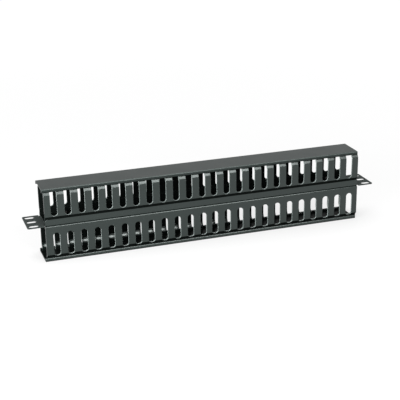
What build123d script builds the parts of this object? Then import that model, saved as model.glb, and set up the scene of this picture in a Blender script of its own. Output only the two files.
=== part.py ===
from build123d import *
import os

os.makedirs("parts", exist_ok=True)

# A double-sided horizontal cable manager, one rack unit, all of folded steel sheet.
# It stands on its rear cover, with the rack's front-to-back direction upright (+Z),
# its length along X and the rack's height along Y. The origin is at the middle of the base.

# Mounting panel, to the 19-inch rack standard
panel_length = 482.6
panel_depth = 43.65
panel_sheet = 1.5
ear_corner = 2.5
ear_length = 22.8
rack_slot_inset = 8.75
rack_slot_pitch = 15.875
rack_slot_length = 12.5
rack_slot_width = 7.2
flange_height = 9.1
flange_corner = 4.0
bend_relief = 1.0

# Slotted ducts
duct_width = 40.0
duct_height = 47.2
duct_sheet = 2.0
bend_inside = 0.5
panel_fit = 0.1
joggle_over_flange = 1.15
joggle_under_cover = 1.1

# Cable slots
slot_pitch = 17.94
middle_pitch = 16.35
slot_width = 8.4
slot_round_sides = 12
slot_over_joggle = 0.85
rear_slot_from = 9.7
closed_strip = 5.7
front_finger_shift = -0.5
front_closed_shift = 1.7
rear_finger_shift = 0.4
rear_closed_shift = 0.85

# Covers
cover_overhang = 0.5
cover_sheet = 1.2
cover_flange = 4.8
cover_bend_inside = 0.3
hem_under_top = 0.6
hem_gap = 0.1
cover_fit = 0.15
cover_shift = -1.8

# M4 hexagon screws and nuts that join the two duct floors through the panel
screw_columns = 4
screw_rows = 2
screw_inset = 31.0
screw_row_pitch = 20.0
screw_diameter = 4.0
screw_length = 10.0
screw_clearance = 0.5
head_across_flats = 7.0
head_height = 2.8
nut_across_flats = 7.0
nut_height = 3.2
thread_fit = 0.05

# Heights of the stack, from the underside of the rear cover upwards
rear_floor = cover_sheet + duct_height
front_floor = rear_floor + panel_sheet

# Lengths that follow from the panel's
duct_length = panel_length - 2 * ear_length
cover_length = duct_length + 2 * cover_overhang
rack_slot_span = panel_length - 2 * rack_slot_inset
screw_column_pitch = (duct_length - 2 * screw_inset) / (screw_columns - 1)
slots_each_side = int(duct_length / 2 / slot_pitch)

# Joggles: the walls step in over the panel's flanges, and again under the covers' flanges
base_step = panel_sheet + panel_fit
base_joggle_at = flange_height - panel_sheet + joggle_over_flange
tip_step = 2 * cover_sheet + hem_gap + cover_fit
tip_length = cover_flange - cover_sheet + joggle_under_cover
tip_joggle_at = duct_height - tip_length - tip_step
front_slot_from = base_joggle_at + base_step + slot_over_joggle
closed_slot_to = duct_height - closed_strip


def duct_outline(floor_z, direction, base_inset):
    # The outer faces of the folded section, as (y, z) from tip to tip round the floor
    face = duct_width / 2
    wall = [
        (face - tip_step, duct_height),
        (face - tip_step, tip_joggle_at + tip_step),
        (face, tip_joggle_at),
    ]
    if base_inset:
        wall.append((face, base_joggle_at + base_inset))
        wall.append((face - base_inset, base_joggle_at))
    wall.append((face - base_inset, 0))
    left = [(-y, floor_z + direction * h) for y, h in wall]
    right = [(y, floor_z + direction * h) for y, h in wall]
    return (left + right[::-1])[::direction]


def duct_turns(points):
    # Joggles are pressed sharp, and only the two bends at the floor have a radius
    joggles = [0] * (len(points) // 2 - 2)
    return joggles + [bend_inside + duct_sheet] * 2 + joggles


def slot_centres(shift):
    # Each wall is punched in two halves, which come a little closer at the middle
    half = [middle_pitch / 2 + i * slot_pitch for i in range(slots_each_side)]
    return [shift - x for x in half[::-1]] + [shift + x for x in half]


def slot_sketch(floor_z, direction, start, end, shift):
    # A row of slots in a wall, between two heights over the floor. A slot's round ends
    # are halves of a regular polygon, with flats where they meet the straight sides
    middle = floor_z + direction * (start + end) / 2
    straight = end - start - slot_width
    with Locations(*[(x, middle) for x in slot_centres(shift)]):
        Rectangle(slot_width, straight)
        with Locations((0, -straight / 2), (0, straight / 2)):
            RegularPolygon(
                slot_width / 2,
                slot_round_sides,
                major_radius=False,
                rotation=180 / slot_round_sides,
            )


wall_cut = tip_step + duct_sheet + bend_inside
open_slot_to = duct_height + slot_width
near_wall = Plane.XZ.offset(duct_width / 2)
far_wall = Plane.XZ.offset(-duct_width / 2)
screw_grid = GridLocations(
    screw_column_pitch, screw_row_pitch, screw_columns, screw_rows
)

# Front duct: nests in the panel's flanges, fingers towards -Y and closed slots towards +Y
with BuildPart() as front_duct:
    with BuildSketch(Plane.YZ):
        with BuildLine():
            outline = duct_outline(front_floor, 1, base_step)
            FilletPolyline(*outline, radius=duct_turns(outline))
            offset(amount=duct_sheet, side=Side.LEFT, kind=Kind.INTERSECTION)
        make_face()
    extrude(amount=duct_length / 2, both=True)
    with BuildSketch(near_wall):
        slot_sketch(front_floor, 1, front_slot_from, open_slot_to, front_finger_shift)
    extrude(amount=-wall_cut, mode=Mode.SUBTRACT)
    with BuildSketch(far_wall):
        slot_sketch(
            front_floor, 1, front_slot_from, closed_slot_to, front_closed_shift
        )
    extrude(amount=wall_cut, mode=Mode.SUBTRACT)
    with BuildSketch(Plane.XY.offset(front_floor)):
        with screw_grid:
            Circle((screw_diameter + screw_clearance) / 2)
    extrude(amount=duct_sheet, mode=Mode.SUBTRACT)
front_duct.part.label = "front_duct"
export_step(front_duct.part, "parts/front_duct.step")

# Rear duct: back to back with the front one, its floor flat under the panel
with BuildPart() as rear_duct:
    with BuildSketch(Plane.YZ):
        with BuildLine():
            outline = duct_outline(rear_floor, -1, 0)
            FilletPolyline(*outline, radius=duct_turns(outline))
            offset(amount=duct_sheet, side=Side.LEFT, kind=Kind.INTERSECTION)
        make_face()
    extrude(amount=duct_length / 2, both=True)
    with BuildSketch(near_wall):
        slot_sketch(rear_floor, -1, rear_slot_from, closed_slot_to, rear_closed_shift)
    extrude(amount=-wall_cut, mode=Mode.SUBTRACT)
    with BuildSketch(far_wall):
        slot_sketch(rear_floor, -1, rear_slot_from, open_slot_to, rear_finger_shift)
    extrude(amount=wall_cut, mode=Mode.SUBTRACT)
    with BuildSketch(Plane.XY.offset(rear_floor)):
        with screw_grid:
            Circle((screw_diameter + screw_clearance) / 2)
    extrude(amount=-duct_sheet, mode=Mode.SUBTRACT)
rear_duct.part.label = "rear_duct"
export_step(rear_duct.part, "parts/rear_duct.step")

# Mounting panel: a shallow tray between the ducts that ends in the two rack ears
panel_bend = bend_inside + panel_sheet / 2
tray_side = duct_width / 2 - panel_sheet / 2
tray_top = rear_floor + flange_height
tray_middle = rear_floor + panel_sheet / 2
neck_width = duct_width - 2 * (bend_inside + panel_sheet)
ear_root = duct_length / 2 + bend_relief
with BuildPart() as mounting_panel:
    with BuildSketch(Plane.YZ):
        with BuildLine():
            FilletPolyline(
                (-tray_side, tray_top),
                (-tray_side, tray_middle),
                (tray_side, tray_middle),
                (tray_side, tray_top),
                radius=panel_bend,
            )
        trace(line_width=panel_sheet)
    extrude(amount=duct_length / 2, both=True)
    flange_ends = mounting_panel.edges().filter_by(Axis.Y).group_by(Axis.Z)[-1]
    fillet(flange_ends, radius=flange_corner)
    with BuildSketch(Plane.XY.offset(rear_floor)):
        RectangleRounded(panel_length, panel_depth, ear_corner)
        Rectangle(2 * ear_root, panel_depth, mode=Mode.SUBTRACT)
        Rectangle(2 * ear_root, neck_width)
    extrude(amount=panel_sheet)
    with BuildSketch(Plane.XY.offset(rear_floor)):
        with GridLocations(rack_slot_span, rack_slot_pitch, 2, 3):
            SlotOverall(rack_slot_length, rack_slot_width)
        with screw_grid:
            Circle((screw_diameter + screw_clearance) / 2)
    extrude(amount=panel_sheet, mode=Mode.SUBTRACT)
mounting_panel.part.label = "mounting_panel"
export_step(mounting_panel.part, "parts/mounting_panel.step")

# Press-on covers: a flat top with two flanges, each folded back on itself into a hem
cover_side = duct_width / 2 - cover_sheet / 2
hem_side = cover_side - cover_sheet - hem_gap
cover_bend = cover_bend_inside + cover_sheet / 2
hem_bend = cover_sheet / 2


def cover_line(outside, direction):
    # From one hem round the cover to the other; outside is the height of its outer face
    top = outside - direction * cover_sheet / 2
    turn = outside - direction * (cover_flange - cover_sheet / 2)
    inner = outside - direction * (cover_sheet + hem_under_top)
    right = [(hem_side, inner), (hem_side, turn), (cover_side, turn), (cover_side, top)]
    return [(-y, z) for y, z in right] + right[::-1]


cover_radii = [hem_bend, hem_bend, cover_bend, cover_bend, hem_bend, hem_bend]
front_cover_top = front_floor + duct_height + cover_sheet
for name, outside, direction in (
    ("front_cover", front_cover_top, 1),
    ("rear_cover", 0, -1),
):
    with BuildPart() as cover:
        with BuildSketch(Plane.YZ.offset(cover_shift)):
            with BuildLine():
                FilletPolyline(*cover_line(outside, direction), radius=cover_radii)
            trace(line_width=cover_sheet)
        extrude(amount=cover_length / 2, both=True)
    cover.part.label = name
    export_step(cover.part, f"parts/{name}.step")

# Screws with their heads in the front duct, and the nuts under the rear duct's floor
head_seat = front_floor + duct_sheet
nut_seat = rear_floor - duct_sheet
for index, place in enumerate(screw_grid, start=1):
    x, y = place.position.X, place.position.Y
    with BuildPart() as screw:
        with BuildSketch(Plane((x, y, head_seat))):
            RegularPolygon(head_across_flats / 2, 6, major_radius=False)
        extrude(amount=head_height)
        with BuildSketch(Plane((x, y, head_seat))):
            Circle(screw_diameter / 2)
        extrude(amount=-screw_length)
    screw.part.label = f"screw_{index}"
    export_step(screw.part, f"parts/screw_{index}.step")

    with BuildPart() as nut:
        with BuildSketch(Plane((x, y, nut_seat))):
            RegularPolygon(nut_across_flats / 2, 6, major_radius=False)
            Circle(screw_diameter / 2 + thread_fit, mode=Mode.SUBTRACT)
        extrude(amount=-nut_height)
    nut.part.label = f"nut_{index}"
    export_step(nut.part, f"parts/nut_{index}.step")
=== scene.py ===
# %% [markdown]
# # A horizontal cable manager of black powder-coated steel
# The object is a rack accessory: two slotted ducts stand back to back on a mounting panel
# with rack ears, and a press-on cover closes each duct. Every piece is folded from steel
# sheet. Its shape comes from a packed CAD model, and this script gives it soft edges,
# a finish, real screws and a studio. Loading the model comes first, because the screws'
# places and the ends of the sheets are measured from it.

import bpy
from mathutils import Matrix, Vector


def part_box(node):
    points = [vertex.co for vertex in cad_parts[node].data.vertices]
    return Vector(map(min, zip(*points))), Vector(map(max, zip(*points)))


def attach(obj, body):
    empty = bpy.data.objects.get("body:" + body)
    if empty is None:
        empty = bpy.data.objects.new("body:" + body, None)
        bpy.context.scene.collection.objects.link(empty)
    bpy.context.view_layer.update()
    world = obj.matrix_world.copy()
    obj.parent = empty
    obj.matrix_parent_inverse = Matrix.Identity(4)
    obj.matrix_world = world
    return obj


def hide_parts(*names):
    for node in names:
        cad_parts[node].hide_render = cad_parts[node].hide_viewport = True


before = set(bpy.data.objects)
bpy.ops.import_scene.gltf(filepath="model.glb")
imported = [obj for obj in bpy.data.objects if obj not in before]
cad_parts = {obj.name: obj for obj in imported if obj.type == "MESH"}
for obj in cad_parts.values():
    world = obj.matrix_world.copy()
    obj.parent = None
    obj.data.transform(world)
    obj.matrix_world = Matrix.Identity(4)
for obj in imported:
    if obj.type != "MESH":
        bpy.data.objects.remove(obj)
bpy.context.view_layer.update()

# %% [markdown]
# ## Modules and units
# Blender works in metres here, and sheet metal is thought of in millimetres. One named
# factor keeps the numbers below readable. bmesh is Blender's mesh editor for scripts, and
# it has the same operators as Edit Mode.

# %% Modules and the millimetre
import math

import bmesh
import bpy
from mathutils import Matrix, Vector

scene = bpy.context.scene
mm = 0.001
print("one millimetre is", mm, "metres")

# %% [markdown]
# ## The camera
# The camera stands a little to the left and above, and the long object runs away to the
# right. A camera's place could be set by hand and nudged until it looks right. Here the
# view is given as a photographer would say it: how far it is turned, how far it looks
# down, how far it leans, and the focal length. The rotation is built from those angles,
# so each can be changed without disturbing the others. The Standard view shows a colour
# as it is, where a film-like one would bend it.

# %% Place the camera
camera_place = Vector((-0.42201, -1.24082, 0.53191))
turned_right = math.radians(18.566)
looks_down = math.radians(20.224)
leans = math.radians(-0.836)
focal_length = 93.693

right = Vector((math.cos(turned_right), -math.sin(turned_right), 0))
forward = Vector((
    math.sin(turned_right) * math.cos(looks_down),
    math.cos(turned_right) * math.cos(looks_down),
    -math.sin(looks_down),
))
down = forward.cross(right)
leaning_right = right * math.cos(leans) - down * math.sin(leans)
leaning_down = right * math.sin(leans) + down * math.cos(leans)

camera = bpy.data.objects.new("camera", bpy.data.cameras.new("camera"))
camera.data.lens = focal_length
turn = Matrix((leaning_right, -leaning_down, -forward)).transposed()
camera.matrix_world = Matrix.Translation(camera_place) @ turn.to_4x4()
scene.collection.objects.link(camera)
scene.camera = camera
scene.view_settings.view_transform = "Standard"
print("camera at", [round(value, 3) for value in camera_place])

# %% [markdown]
# ## Shader maths as plain expressions
# A finish is a net of nodes, and linking them one by one is hard to read. This small
# class wraps one output of a node. Adding to it or multiplying it makes a Math node and
# gives back its output, so a finish reads like a formula, and a plain number may stand on
# either side. Any other node comes from the one method named node.

# %% A socket that can be calculated with
class Socket:
    """An output in a shader tree. Sums and products of it become Math nodes."""

    def __init__(self, tree, output=None):
        self.tree = tree
        self.output = output

    def node(self, kind, settings=None, inputs=None, output=0):
        """Adds any kind of node: its settings first, then its inputs' values or links."""
        made = self.tree.nodes.new(kind)
        for name, value in (settings or {}).items():
            setattr(made, name, value)
        for name, value in (inputs or {}).items():
            if isinstance(value, Socket):
                self.tree.links.new(value.output, made.inputs[name])
            else:
                made.inputs[name].default_value = value
        return Socket(self.tree, made.outputs[output])

    def math(self, operation, first, second):
        return self.node("ShaderNodeMath", {"operation": operation}, {0: first, 1: second})

    def __add__(self, other):
        return self.math("ADD", self, other)

    def __mul__(self, other):
        return self.math("MULTIPLY", self, other)

    def larger(self, other):
        return self.math("MAXIMUM", self, other)

    def blend(self, first, second):
        """Goes from one colour to another as this socket goes from 0 to 1."""
        inputs = {0: self, 6: first, 7: second}
        return self.node("ShaderNodeMix", {"data_type": "RGBA"}, inputs, output=2)

    def noise(self, scale, detail):
        """Noise over this position, with that many features to a metre."""
        inputs = {"Vector": self, "Scale": scale, "Detail": detail}
        return self.node("ShaderNodeTexNoise", None, inputs)

    __radd__ = __add__
    __rmul__ = __mul__


def grey(level):
    """A neutral colour, from 0 for black to 1 for white."""
    return (level, level, level, 1)


print("a socket can:", [name for name in vars(Socket) if not name.startswith("__")])

# %% [markdown]
# ## The white studio
# The object stands in a white studio with no visible corner. A backdrop could be a big
# lit mesh, but then the backdrop would also light the object. Light Path tells what kind
# of ray is asking: camera rays, and the rays that make reflections, see plain white, and
# all other rays get a softer grey, so the surround fills the shadows without flattening
# the form.

# %% What the camera sees, and the surround
surround_fill = 0.8


def seen_directly(tree):
    """1 for camera, mirror and glass rays, and 0 for the rays that carry light."""
    path = tree.nodes.new("ShaderNodeLightPath")
    camera_ray, glossy_ray, glass_ray = (
        Socket(tree, path.outputs[name])
        for name in ("Is Camera Ray", "Is Glossy Ray", "Is Transmission Ray")
    )
    return camera_ray.larger(glossy_ray).larger(glass_ray)


def finish_with(tree, shader, output_kind):
    """Links a shader to a tree's own output node."""
    target = next(item for item in tree.nodes if item.bl_idname == output_kind)
    tree.links.new(shader.output, target.inputs["Surface"])


world = bpy.data.worlds.new("white_studio")
world.use_nodes = True
scene.world = world
seen = seen_directly(world.node_tree)
white = grey(1)
fill = seen.node("ShaderNodeBackground", None, {"Color": white, "Strength": surround_fill})
backdrop = seen.node("ShaderNodeBackground", None, {"Color": white, "Strength": 1.0})
surround = seen.node("ShaderNodeMixShader", None, {0: seen, 1: fill, 2: backdrop})
finish_with(world.node_tree, surround, "ShaderNodeOutputWorld")
print("surround:", [node.bl_idname for node in world.node_tree.nodes])

# %% [markdown]
# ## The floor
# The floor is a white sweep that runs into the white surround, and only close to the
# object does a faint shadow show. Painting a shadow would be false from other angles.
# Instead the floor has two looks. The rays that carry light meet a plain white diffuse
# floor. Where it is seen directly it is a dimmer diffuse surface, which still takes the
# real shadow, plus a plain glow that lifts the shadow until it is faint. The glow grows
# with the distance from the object, so the far floor meets the background without a seam.

# %% Shape the floor
floor_size = 8.0

mesh = bpy.data.meshes.new("floor")
bm = bmesh.new()
bmesh.ops.create_grid(bm, x_segments=1, y_segments=1, size=floor_size / 2)
bm.to_mesh(mesh)
bm.free()
floor = bpy.data.objects.new("floor", mesh)
scene.collection.objects.link(floor)
print("floor:", floor_size, "metres across")

# %% [markdown]
# Diffuse, Emission and Mix Shader nodes make the two looks. The distance is the length of
# the Object coordinate, because the object stands at the floor's middle, and a Map Range
# node turns it into a factor from 0 near the object to 1 far away.

# %% Paint the floor
floor_white = 0.8
floor_seen = 0.25
near_glow, far_glow = 0.61, 0.8
glow_grows = {"From Min": 0.35, "From Max": 1.6}

floor_finish = bpy.data.materials.new("floor_white")
floor_finish.use_nodes = True
seen = seen_directly(floor_finish.node_tree)
matt = seen.node("ShaderNodeBsdfDiffuse", None, {"Color": grey(floor_white)})
subdued = seen.node("ShaderNodeBsdfDiffuse", None, {"Color": grey(floor_seen)})
spot = seen.node("ShaderNodeTexCoord", output="Object")
length = {"operation": "LENGTH"}
distance = spot.node("ShaderNodeVectorMath", length, {0: spot}, output="Value")
reach = distance.node("ShaderNodeMapRange", None, {"Value": distance, **glow_grows})
glow = reach.blend(grey(near_glow), grey(far_glow))
lift = seen.node("ShaderNodeEmission", None, {"Color": glow, "Strength": 1.0})
lifted = seen.node("ShaderNodeAddShader", None, {0: subdued, 1: lift})
shown = seen.node("ShaderNodeMixShader", None, {0: seen, 1: matt, 2: lifted})
finish_with(floor_finish.node_tree, shown, "ShaderNodeOutputMaterial")
mesh.materials.append(floor_finish)
print("floor finish:", len(floor_finish.node_tree.nodes), "nodes")

# %% [markdown]
# ## The lamps
# Black glossy paint shows its shape by what it mirrors, so each lamp has a place where
# something mirrors it. The key softbox hangs in front and to the right, at about 39
# degrees over the floor. There the sloped shoulders of the fingers mirror it, and they
# stand out as pale bars, while the upright walls stay dark. It ends where its image would
# reach the right-hand end of the object, so the last shoulders fade. A low softbox at the
# left lights the cut sides of the slots, which all face that way. A broad one overhead
# lays the shadow under the object. All three are weak enough that a grey renders about as
# it is written.

# %% Hang the lamps
def softbox(name, place, target, size, power):
    """A rectangular area lamp at a place, facing a target."""
    data = bpy.data.lights.new(name, "AREA")
    data.shape = "RECTANGLE"
    data.size, data.size_y = size
    data.energy = power
    lamp = bpy.data.objects.new(name, data)
    lamp.location = place
    facing = (Vector(target) - Vector(place)).to_track_quat("-Z", "Y")
    lamp.rotation_mode = "QUATERNION"
    lamp.rotation_quaternion = facing
    scene.collection.objects.link(lamp)
    return lamp


key = softbox("key_softbox", (0.36, -1.15, 1.0), (0.1, 0, 0.05), (0.85, 0.45), 14)
side = softbox("left_softbox", (-0.75, -0.5, 0.2), (0, 0, 0.05), (0.5, 0.35), 12)
overhead = softbox("overhead_softbox", (0, 0.25, 1.3), (0, 0, 0), (1.2, 0.7), 8)
print("lamps:", key.name, side.name, overhead.name)

# %% [markdown]
# ## Helpers for any finish
# Every finish starts from Blender's Principled shader. Constants are set on the shader's
# own sockets, because an export keeps those. What varies over the surface is linked, and
# feed does that with the socket's name as a keyword. The grain of a paint is too fine to
# model, so bumps lets a noise tilt the surface's normal instead.

# %% Start and feed a finish
def new_finish(name):
    """An empty node material: the material, its Principled shader and a first socket."""
    material = bpy.data.materials.new(name)
    material.use_nodes = True
    tree = material.node_tree
    return material, tree.nodes["Principled BSDF"], Socket(tree)


def feed(shader, **sockets):
    """Links sockets to a shader's inputs, with Base_Color meaning Base Color."""
    for name, socket in sockets.items():
        socket.tree.links.new(socket.output, shader.inputs[name.replace("_", " ")])


def bumps(paint, height, depth, strength):
    """A normal tilted by a height, as if its bumps were that many metres deep."""
    inputs = {"Height": height, "Distance": depth, "Strength": strength}
    return paint.node("ShaderNodeBump", None, inputs, output="Normal")


print("helpers:", new_finish.__name__, feed.__name__, bumps.__name__)

# %% [markdown]
# ## Finish: black powder coat
# Powder coat is a baked skin of plastic, nearly black with a trace of green, glossy, and
# very finely pebbled. Its colour is so dark that almost all that one sees of it is what
# it mirrors, so the colour is darker than the greys that one sees. Two noises on the
# Object coordinates give the pebble and the slow unevenness of the gun's passes. They
# move the roughness and the bump. Dust settles on faces that look up and dulls them, and
# the Normal output of Texture Coordinate tells which those are. Round a punched edge the
# powder runs thin, and the steel greys it. The cut faces are painted a light grey that is
# also a painted highlight, for the pale lines that a lamp draws along them. A cover's
# upward folds get a little of that painted highlight. An attribute on each mesh,
# thin_coat_and_highlight, says where the sheet was cut or tightly folded, so it is
# lighter exactly there.

# %% Powder coat as a recipe
coat_black = (0.0055, 0.0088, 0.008, 1)
# Painted shade: a darker black for the faces inside the ducts and in the gaps between
# sheets.
coat_painted_shade = (0.003, 0.004, 0.0037, 1)
# Painted highlight and thin coat: the light grey that cut faces and a cover's upward folds
# take.
thin_coat_and_highlight_grey = (0.235, 0.272, 0.262, 1)
coat_mirror_tint = (0.91, 1.0, 0.97, 1)
pebbles_per_metre, pebble_detail = 2300, 2.0
passes_per_metre, passes_detail = 38, 3.0
pebble_height, pebble_strength = 0.015 * mm, 0.5
pebble_dulls, passes_dull = 0.06, 0.1
# How much of that painted highlight and thin coat grey a marked face takes, unevenly.
thin_and_highlight_least, thin_and_highlight_uneven = 0.5, 0.8


def powder_finish(name, index, dullness, dust, gloss=0.5, colour=coat_black):
    """Powder coat: its index of refraction, its roughness, and how dust adds to that."""
    powder, shader, paint = new_finish(name)
    place = paint.node("ShaderNodeTexCoord", output="Object")
    pebble = place.noise(pebbles_per_metre, pebble_detail)
    passes = place.noise(passes_per_metre, passes_detail)
    normal = paint.node("ShaderNodeTexCoord", output="Normal")
    upward = normal.node("ShaderNodeSeparateXYZ", None, {0: normal}, output="Z").larger(0.0)
    # The mark makes the colour lighter: thin coat at the cuts, and a painted highlight
    # there and on a cover's upward folds.
    thin_and_highlight_mark = paint.node("ShaderNodeAttribute", {"attribute_name": "thin_coat_and_highlight"}, output="Fac")
    thin_and_highlight = thin_and_highlight_mark * (thin_and_highlight_least + thin_and_highlight_uneven * passes)
    feed(
        shader,
        Base_Color=thin_and_highlight.blend(colour, thin_coat_and_highlight_grey),
        Roughness=dullness + passes_dull * passes + pebble_dulls * pebble + dust * upward,
        Normal=bumps(paint, pebble, pebble_height, pebble_strength),
    )
    shader.inputs["IOR"].default_value = index
    shader.inputs["Specular IOR Level"].default_value = gloss
    shader.inputs["Specular Tint"].default_value = coat_mirror_tint
    print(name, len(powder.node_tree.nodes), "nodes")
    return powder


print("pebbles are", pebble_height / mm, "mm high,", pebbles_per_metre, "to a metre")

# %% [markdown]
# One paint looks different from place to place, so the recipe is used five times. The
# front duct has the plain coat. The panel has been handled, and its flat ears are dull.
# The front cover is a little duller all over. The rear duct and the rear cover lie under
# the panel, where hardly any dust settles, so their slopes mirror the key softbox as
# sharp pale bars. The faces inside a duct and in the gaps between two sheets get painted
# shade: a darker copy of the coat with almost no gloss, so they stay as dark as the shade
# there, where a mirror would look false.

# %% Five powder coats
glossy = {"index": 1.55, "dullness": 0.06}
dull = {"index": 1.5, "dullness": 0.12, "gloss": 0.34}
# Painted shade: a darker copy of the coat with almost no gloss, for the insides and the
# gaps.
painted_shade_look = {"index": 1.55, "dullness": 0.3, "gloss": 0.02, "colour": coat_painted_shade}

powder_coat = powder_finish("black_powder_coat", dust=0.35, **glossy)
panel_coat = powder_finish("handled_powder_coat", dust=0.8, **glossy)
dull_coat = powder_finish("dull_powder_coat", dust=0.26, **dull)
clean_coat = powder_finish("clean_powder_coat", dust=0.05, **glossy)
painted_shade_coat = powder_finish("painted_shade_powder_coat", dust=0.0, **painted_shade_look)

# %% [markdown]
# ## Finish: blackened steel
# The screws and nuts are black zinc: bare metal under a thin dark film, so they glint more
# than the paint does. The film is uneven, and its rubbed places are a little paler. One
# cloudy noise drives both the colour and the roughness, because a rubbed place changes in
# both ways at once.

# %% Make the blackened steel
film_dark = (0.05, 0.05, 0.052, 1)
film_rubbed = (0.16, 0.155, 0.15, 1)
clouds_per_metre, cloud_detail = 420, 3.0
grains_per_metre, grain_detail = 5200, 1.0
grain_height, grain_strength = 0.01 * mm, 0.4
film_smooth, film_uneven = 0.28, 0.2
film_metallic = 0.9

blackened_steel, shader, paint = new_finish("blackened_steel")
place = paint.node("ShaderNodeTexCoord", output="Object")
cloud = place.noise(clouds_per_metre, cloud_detail)
grain = place.noise(grains_per_metre, grain_detail)
feed(
    shader,
    Base_Color=cloud.blend(film_dark, film_rubbed),
    Roughness=film_smooth + film_uneven * cloud,
    Normal=bumps(paint, grain, grain_height, grain_strength),
)
shader.inputs["Metallic"].default_value = film_metallic
print("blackened steel:", len(blackened_steel.node_tree.nodes), "nodes")

# %% [markdown]
# ## Folded sheets, from loose triangles
# The model already has the true shape of each folded sheet, with sharp edges and with the
# slots' ends drawn as flats. Real sheet has neither: a press leaves a soft fold, a punch
# cuts a round, and paint softens every cut. A Bevel modifier would treat all edges alike,
# so the edges are softened in a bmesh instead. The model's triangles aren't joined to
# each other, so a copy of them is merged first, and those in one plane become one face.

# %% Weld a copy
weld_distance = 0.002 * mm
flat_angle = math.radians(0.5)


def merged_copy(node):
    """A bmesh of a node's mesh, with its loose triangles welded into whole faces."""
    bm = bmesh.new()
    bm.from_mesh(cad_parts[node].data)
    bmesh.ops.remove_doubles(bm, verts=bm.verts, dist=weld_distance)
    bmesh.ops.dissolve_limit(
        bm,
        angle_limit=flat_angle,
        use_dissolve_boundaries=False,
        verts=bm.verts,
        edges=bm.edges,
    )
    return bm


print("points closer than", weld_distance / mm, "mm are merged")

# %% [markdown]
# ## Edges, chosen by how they turn
# The angle between an edge's two faces tells what the edge is. A slot's round end has
# twelve sides to a full turn, so its corners turn by 30 degrees. The pressed joggles turn
# by 45 degrees. A rim, where a face meets a cut, turns by 90 degrees or nearly so.

# %% Choose edges
slot_corner = (25, 35)
joggle_fold = (40, 50)
cut_rim = (60, 181)
along_x, along_y = 0, 1
nearly_along = 0.98


def edges_between(bm, turn, along=None):
    """Edges whose faces meet within a range of degrees, and that run along an axis."""
    low, high = turn
    chosen = []
    for edge in bm.edges:
        if not edge.is_manifold:
            continue
        angle = math.degrees(edge.calc_face_angle())
        run = (edge.verts[1].co - edge.verts[0].co).normalized()
        if low <= angle < high and (along is None or abs(run[along]) > nearly_along):
            chosen.append(edge)
    return chosen


print("a slot's corner turns by", slot_corner, "degrees")

# %% [markdown]
# ## One way to soften an edge
# The Bevel operator replaces an edge by a narrow strip. Its defaults differ from the
# editor's, so it is told that it works on edges, that 0.5 is a round profile, and that
# -1 leaves each new face the material beside it. One segment would be a chamfer, two look
# soft, and a round that is seen from close by needs three or more.

# %% Soften edges
def soften(bm, edges, amount, segments):
    """Bevels edges, by an amount on each side of the edge."""
    bmesh.ops.bevel(
        bm,
        geom=edges,
        offset=amount,
        offset_type="OFFSET",
        segments=segments,
        profile=0.5,
        affect="EDGES",
        clamp_overlap=False,
        material=-1,
    )


print("helper:", soften.__name__)

# %% [markdown]
# ## The shoulders of the fingers
# On each duct one wall is cut into open fingers, and their ends step in under the cover.
# A pressed step isn't as sharp as the drawn one: its two folds lie further apart, so the
# shoulder slopes more gently, and both are well rounded. Moving the folds before they are
# rounded keeps the wall's faces flat. The other folds are only softened a little. Where a
# fold crosses a slot's end close to a corner, that corner isn't rounded, because two
# bevels that overlap leave faces that fold over each other.

# %% Find and ease the shoulders
panel_height = 49.2 * mm
near_panel = 30 * mm
slot_end_round = 1.0 * mm
shoulder_eased = 1.0 * mm


def on_a_finger(edge):
    """True for a fold high on the walls that are cut into open fingers."""
    middle = (edge.verts[0].co + edge.verts[1].co) / 2
    away = middle.z - panel_height
    return abs(away) > near_panel and middle.y * away < 0


def has_room(edge):
    """False for a slot's corner with a fold so near that their roundings would overlap."""
    beside = [
        other for vert in edge.verts for other in vert.link_edges if other is not edge
    ]
    return min(other.calc_length() for other in beside) > slot_end_round


def ease_shoulders(edges):
    """Draws the two folds of each shoulder apart, so that it slopes more gently."""
    points = {vert for edge in edges for vert in edge.verts}
    middle = sum(abs(point.co.z - panel_height) for point in points) / len(points)
    for point in points:
        away = point.co.z - panel_height
        side = 1 if away > 0 else -1
        point.co.z += side * math.copysign(shoulder_eased, abs(away) - middle)


print("each fold of a shoulder moves by", shoulder_eased / mm, "mm")

# %% [markdown]
# ## Which faces were cut
# A face across the sheet's thickness faces along X in the slots' sides. The slots' round
# ends and the tips of the walls face up or down, but those faces are short along X, no
# wider than a finger. These cut faces are marked for thin coat and for a painted
# highlight. The folds on top of a cover that face up are marked a little as well, as a
# painted highlight along the fold. A cover opens inwards, towards the panel, a
# duct opens outwards, and the panel itself counts as opening nowhere. The faces are
# marked before the rims are softened, so each half of a rim's bevel takes the mark of the
# face beside it.

# %% Mark the thin coat and the painted highlight
opens_outwards, opens_nowhere, opens_inwards = 1, 0, -1
sideways = 0.05
flat_enough = 0.85
widest_cut = 10 * mm
fold_faces_up = (0.2, 0.95)
# Painted highlight: how much of the light grey a cover's upward folds take.
fold_painted_highlight = 0.12


def run_of(face):
    """How far a face reaches along X."""
    places = [vert.co.x for vert in face.verts]
    return max(places) - min(places)


def cut_across(face, end):
    """True for a slot's own faces, across the thickness of a sheet that runs along X."""
    if abs(face.normal.x) > sideways:
        return abs(face.calc_center_median().x) < end
    return abs(face.normal.z) > flat_enough and run_of(face) < widest_cut


def thin_coat_and_highlight_of(face, opens, end):
    """Thin coat and painted highlight: all of it at a cut, a little on a cover's upward
    folds.
    """
    if opens == opens_nowhere:
        return 0.0
    if cut_across(face, end):
        return 1.0
    low, high = fold_faces_up
    return fold_painted_highlight if opens == opens_inwards and low < face.normal.z < high else 0.0


print("a cut face is at most", widest_cut / mm, "mm long")

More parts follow.
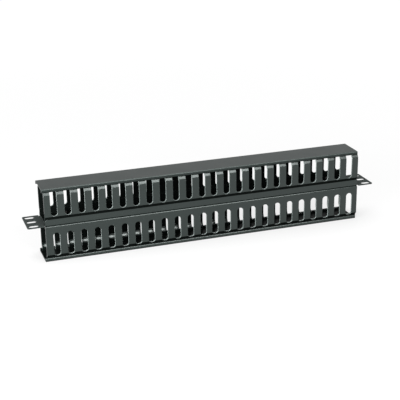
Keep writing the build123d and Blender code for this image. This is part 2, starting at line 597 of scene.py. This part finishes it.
# %% [markdown]
# ## Which faces get painted shade
# Which way a piece opens is 1 or -1, so a product tells whether a flat face looks into
# it. The faces that get painted shade are those that look into a duct or a cover, those
# of a step that looks down, and those of a wall that is set back behind the panel's
# flange or a cover's.
# On the panel only the flange's rim lies in a gap. A slope inside a duct stays plain
# where it is far from the panel, because it mirrors the key softbox through the slots.
# Short faces, such as the rims of a slot, stay plain too, so each slot keeps a clean edge.

# %% Tell the faces that get painted shade
shortest_run = 4 * mm
flange_rim_from = 7 * mm
flange_rim_up = 0.3
level_from, sloped_from = 0.9, 0.1
broad_area = (5 * mm) ** 2
recessed = 19.5 * mm


def gets_painted_shade(face, opens):
    """True for a face that gets painted shade: it looks into a duct or down into a gap
    between sheets.
    """
    middle = face.calc_center_median()
    away = middle.z - panel_height
    upward = face.normal.z
    outward = face.normal.y * middle.y > 0
    if abs(face.normal.x) > sideways or run_of(face) < shortest_run:
        return False
    if opens == opens_nowhere:
        return away > flange_rim_from and upward > flange_rim_up
    if abs(upward) > level_from:
        return face.calc_area() > broad_area and upward * away * opens > 0
    if abs(upward) > sloped_from:
        return upward < 0 if outward else abs(away) < near_panel
    return not outward or (opens == opens_outwards and abs(middle.y) < recessed)


print("a wall nearer to the middle than", recessed / mm, "mm is set back")

# %% [markdown]
# ## Shape and dress the five sheets
# Each bevel works on the edges that it is meant for: first the corners of the slots'
# ends, then the pressed folds, and last the rims of every cut. The rims come last so that
# each runs in one piece round a slot's end and over a fold, which are soft by then.

# %% Shape a sheet
end_margin = 5 * mm
slot_end_steps = 3
finger_fold_round, finger_fold_steps = 1.6 * mm, 5
fold_round, fold_steps = 0.42 * mm, 2
cut_round, cut_steps = 0.4 * mm, 2


def shape_sheet(node, opens):
    """A bmesh with soft folds and rims, and its thin coat and painted highlight marked."""
    bm = merged_copy(node)
    corners = [edge for edge in edges_between(bm, slot_corner, along_y) if has_room(edge)]
    soften(bm, corners, slot_end_round, slot_end_steps)
    folds = edges_between(bm, joggle_fold, along_x)
    shoulders = [edge for edge in folds if on_a_finger(edge)]
    if shoulders:
        ease_shoulders(shoulders)
    soften(bm, shoulders, finger_fold_round, finger_fold_steps)
    others = [edge for edge in folds if edge.is_valid and not on_a_finger(edge)]
    soften(bm, others, fold_round, fold_steps)
    # Cut faces and a cover's upward folds get the lighter grey: thin coat and painted
    # highlight.
    thin_and_highlight_layer = bm.faces.layers.float.new("thin_coat_and_highlight")
    end = max(abs(corner[0]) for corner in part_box(node)) - end_margin
    for face in bm.faces:
        face[thin_and_highlight_layer] = thin_coat_and_highlight_of(face, opens, end)
    soften(bm, edges_between(bm, cut_rim), cut_round, cut_steps)
    return bm


print("a finger's folds are rounded by", finger_fold_round / mm, "mm")

# %% [markdown]
# Each dressed sheet takes the place of its CAD node and rides on the same body, so a
# cover slides off with its own hems. All its faces are smooth, and weighted normals keep
# the broad ones flat and let only the narrow bevels shade round.

# %% Dress each sheet
def as_piece(name, bm, finishes):
    """Turns a bmesh into a smooth object with its finishes and weighted normals."""
    for face in bm.faces:
        face.smooth = True
    mesh = bpy.data.meshes.new(name)
    bm.to_mesh(mesh)
    bm.free()
    for finish in finishes:
        mesh.materials.append(finish)
    piece = bpy.data.objects.new(name, mesh)
    scene.collection.objects.link(piece)
    piece.modifiers.new("flat_faces", "WEIGHTED_NORMAL").keep_sharp = True
    return piece


def dress_sheet(node, body, finish, opens):
    """Replaces a sheet's node by its shaped and coated piece."""
    bm = shape_sheet(node, opens)
    for face in bm.faces:
        # Faces inside the ducts and in the gaps between sheets take the painted shade coat.
        face.material_index = int(gets_painted_shade(face, opens))
    piece = as_piece(node + "_coated", bm, (finish, painted_shade_coat))
    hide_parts(node)
    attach(piece, body)
    print(piece.name, len(piece.data.polygons), "faces")
    return piece


sheets = [
    dress_sheet("front_duct", "frame", powder_coat, opens_outwards),
    dress_sheet("rear_duct", "frame", clean_coat, opens_outwards),
    dress_sheet("mounting_panel", "frame", panel_coat, opens_nowhere),
    dress_sheet("front_cover", "front_cover", dull_coat, opens_inwards),
    dress_sheet("rear_cover", "rear_cover", clean_coat, opens_inwards),
]
print(len(sheets), "sheets")

# %% [markdown]
# ## Shapes turned on a lathe
# A screw and a nut are both turned, so both start as a profile that is spun round their
# axis. A full spin is told to join its last step to its first. Points on the axis come
# out once for each step, so the doubles are merged, and only then are the normals
# recalculated, because a spin can turn a shape inside out.

# %% A lathe
steps_round = 24
axis_weld = 0.001 * mm


def lathe(profile):
    """A bmesh of points (radius, height) spun once round the Z axis."""
    bm = bmesh.new()
    points = [bm.verts.new((radius, 0, height)) for radius, height in profile]
    edges = [bm.edges.new(pair) for pair in zip(points, points[1:])]
    bmesh.ops.spin(
        bm,
        geom=points + edges,
        cent=(0, 0, 0),
        axis=(0, 0, 1),
        angle=2 * math.pi,
        steps=steps_round,
        use_merge=True,
    )
    bmesh.ops.remove_doubles(bm, verts=bm.verts, dist=axis_weld)
    bmesh.ops.recalc_face_normals(bm, faces=bm.faces)
    return bm


print("a full turn takes", steps_round, "steps")

# %% [markdown]
# ## A hexagon with coned ends
# A turned head becomes a hexagon when every point outside it is pulled in along its own
# radius. On a real head a shallow cone is turned on the flat end first, and the six flats
# cut into it in arcs. The same arcs appear here, because a point that is pulled in keeps
# to the cone's slope.

# %% Pull a hexagon
cone_degrees = 30
cone_slope = math.tan(math.radians(cone_degrees))
cone_starts, outside_flats = 0.475, 0.51
same_height = 0.01 * mm


def pull_to_hexagon(bm, flats, coned_ends):
    """Pulls the widest points in to a hexagon, and moves a coned end's to its slope."""
    for vert in bm.verts:
        radius = math.hypot(vert.co.x, vert.co.y)
        if radius < outside_flats * flats:
            continue
        angle = math.atan2(vert.co.y, vert.co.x) % (math.pi / 3)
        reach = flats / 2 / math.cos(angle - math.pi / 6)
        vert.co.x *= reach / radius
        vert.co.y *= reach / radius
        for end, inwards in coned_ends:
            if abs(vert.co.z - end) < same_height:
                vert.co.z += inwards * (reach - cone_starts * flats) * cone_slope


print("a coned end slopes by", cone_degrees, "degrees")

# %% [markdown]
# ## Profiles of a screw and a nut
# A profile is half of the section, from the axis outwards. The thread is a zigzag in it,
# so it comes out as rings. A true helix would cost far more faces and differ only in a
# close look along the thread.

# %% Draw the profiles
thread_radius, nut_hole = 2 * mm, 2.05 * mm
thread_pitch, thread_depth = 0.7 * mm, 0.3 * mm
tip_cone = 0.5 * mm
countersink = 0.25 * mm


def screw_profile(flats, top, seat, bottom):
    """From the middle of the head, over its rim and down the thread to the tip."""
    corner, cone = flats / math.sqrt(3), cone_starts * flats
    profile = [(0, top), (cone, top), (corner, top), (corner, seat), (thread_radius, seat)]
    root = thread_radius - thread_depth
    height = seat - thread_pitch
    while height > bottom + thread_pitch:
        profile += [(thread_radius, height), (root, height - thread_pitch / 2)]
        height -= thread_pitch
    tip = [(thread_radius, height), (thread_radius - tip_cone, bottom), (0, bottom)]
    return profile + tip


def nut_profile(flats, top, bottom):
    """Round the section of a nut, whose hole is countersunk at both ends."""
    corner, cone = flats / math.sqrt(3), cone_starts * flats
    mouth = nut_hole + countersink
    hole = [(nut_hole, bottom + countersink), (nut_hole, top - countersink)]
    outer = [(mouth, top), (cone, top), (corner, top), (corner, bottom), (cone, bottom)]
    return [(mouth, bottom)] + hole + outer + [(mouth, bottom)]


print("the thread has a pitch of", thread_pitch / mm, "mm")

# %% [markdown]
# ## Screws and nuts
# Eight M4 screws hold the two duct floors to the panel between them. The covers hide
# them, and they show as soon as a cover comes off. Their places and lengths are read from
# the CAD boxes, so they can't drift from the holes. Last, the edges of each hexagon are
# broken by a narrow bevel, which catches the light.

# %% Turn the screws and nuts
head_height = 2.8 * mm
edge_break, edge_steps = 0.12 * mm, 2
hexagon_edge = (20, 100)
near_flats = 0.49


def dress_fastener(node):
    """Replaces a screw's or a nut's node by its turned piece."""
    low, high = (Vector(corner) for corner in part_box(node))
    flats = high.y - low.y
    if node.startswith("screw"):
        bm = lathe(screw_profile(flats, high.z, high.z - head_height, low.z))
        pull_to_hexagon(bm, flats, [(high.z, -1)])
    else:
        bm = lathe(nut_profile(flats, high.z, low.z))
        pull_to_hexagon(bm, flats, [(high.z, -1), (low.z, 1)])
    rims = [
        edge for edge in edges_between(bm, hexagon_edge)
        if min(math.hypot(vert.co.x, vert.co.y) for vert in edge.verts) > near_flats * flats
    ]
    soften(bm, rims, edge_break, edge_steps)
    middle = (low + high) / 2
    bmesh.ops.translate(bm, verts=bm.verts, vec=(middle.x, middle.y, 0))
    piece = as_piece(node + "_turned", bm, (blackened_steel,))
    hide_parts(node)
    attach(piece, "frame")
    return piece


fasteners = [
    dress_fastener(node) for node in sorted(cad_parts)
    if node.startswith(("screw_", "nut_"))
]
print(len(fasteners), "fasteners,", len(fasteners[0].data.polygons), "faces in the first")
